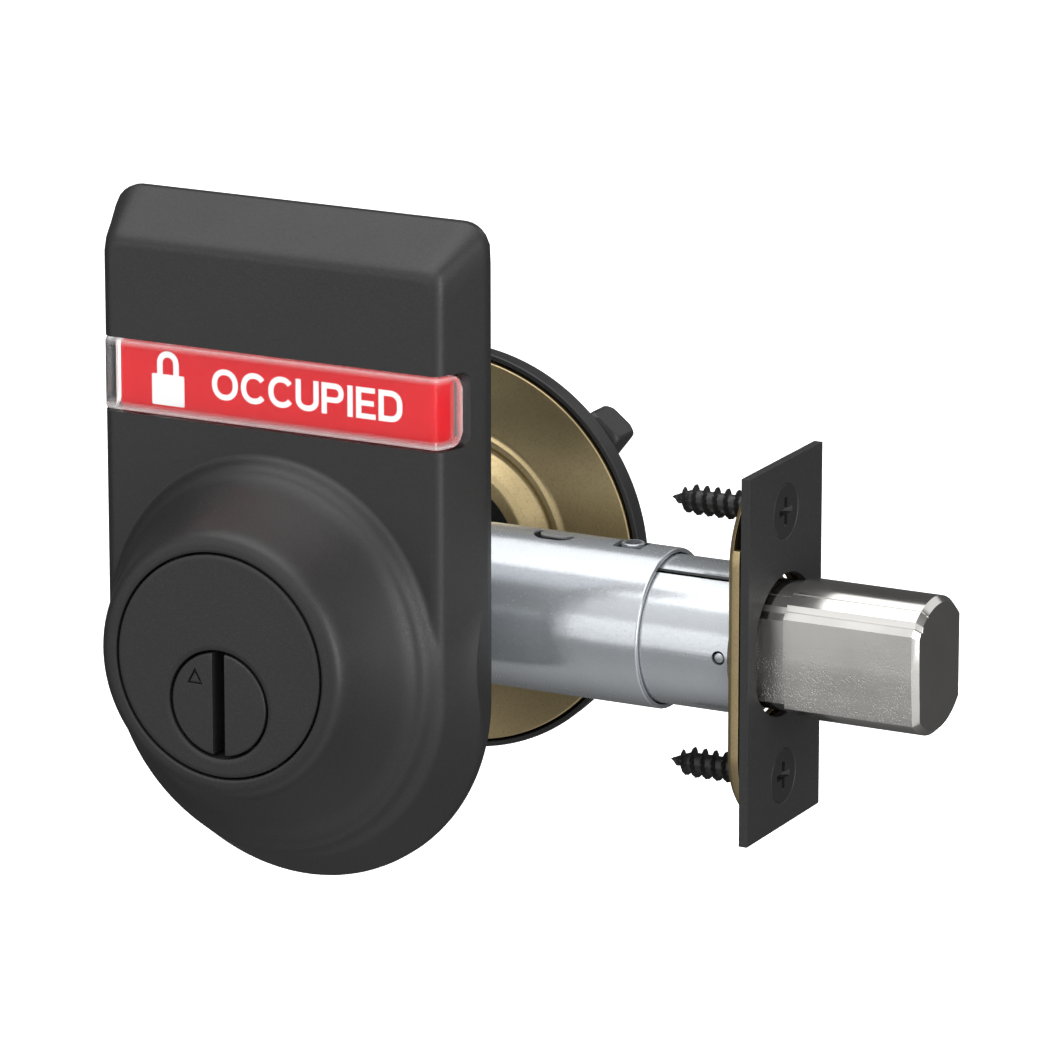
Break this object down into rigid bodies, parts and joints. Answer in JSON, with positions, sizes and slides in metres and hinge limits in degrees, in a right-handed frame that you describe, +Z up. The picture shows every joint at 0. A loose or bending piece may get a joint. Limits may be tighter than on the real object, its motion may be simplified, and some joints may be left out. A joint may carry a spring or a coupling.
{
  "type": "deadbolt door lock",
  "caption": "Tubular deadbolt lock with an occupied/vacant indicator window and coin-turned plug outside, a turn lever inside, and a latch tube and faceplate at the door's edge.",
  "frame": {"origin": "where the bolt's axis crosses the axis of the door's cross bore", "axes": "+X the way the bolt is thrown, towards the door's edge; +Y from the outside of the door to the inside; +Z up"},
  "size_m": [0.128, 0.0956, 0.1053],
  "materials": {
    "black_paint": "satin black paint, fine texture",
    "zinc_plate": "bright zinc plating",
    "brass_plate": "yellow chromate plating, brass-coloured",
    "satin_nickel": "satin nickel plating",
    "steel": "zinc-plated steel",
    "bush_bronze": "sintered bronze",
    "red_panel": "red",
    "green_panel": "green",
    "clear_lens": "clear, polished",
    "slide_nylon": "natural nylon"
  },
  "bodies": {
    "lock": {"escutcheon": "black_paint", "window_lens": "clear_lens", "cylinder_housing": "black_paint", "back_cover": "zinc_plate", "cover_screw_1": "steel", "cover_screw_2": "steel", "cover_screw_3": "steel", "cover_screw_4": "steel", "mounting_post_upper": "steel", "mounting_post_lower": "steel", "hub_bush_outside": "bush_bronze", "hub_bush_inside": "bush_bronze", "latch_tube": "zinc_plate", "bolt_sleeve": "zinc_plate", "guide_pin": "steel", "latch_backplate": "brass_plate", "faceplate": "black_paint", "wood_screw_upper": "black_paint", "wood_screw_lower": "black_paint", "mounting_plate": "brass_plate", "rose": "black_paint", "spring_washer": "steel", "mounting_screw_upper": "steel", "mounting_screw_lower": "steel"},
    "turn": {"coin_plug": "black_paint", "plug_retainer": "steel", "drive_gear": "slide_nylon", "crank": "steel", "tailpiece": "steel", "turn_spindle": "steel", "turn_lever": "black_paint"},
    "bolt": {"bolt_head": "satin_nickel", "anti_saw_pin": "steel", "drive_bar": "steel", "drive_rivet": "steel"},
    "indicator": {"indicator_slide": "slide_nylon", "occupied_panel": "red_panel", "vacant_panel": "green_panel"}
  },
  "joints": [
    {"name": "bolt_slide", "type": "slide", "parent": "lock", "child": "bolt", "axis": [1, 0, 0], "range_m": [-0.0254, 0]},
    {"name": "turn", "type": "hinge", "parent": "lock", "child": "turn", "pos_m": [0, 0, -0.00595], "axis": [0, -1, 0], "range_deg": [0, 90]},
    {"name": "indicator_slide", "type": "slide", "parent": "lock", "child": "indicator", "axis": [0, 0, 1], "range_m": [-0.01258, 0]}
  ],
  "couplings": [
    {"joint": "turn", "follows": "bolt_slide", "rad_per_m": -61.842},
    {"joint": "indicator_slide", "follows": "bolt_slide", "ratio": 0.4947}
  ]
}
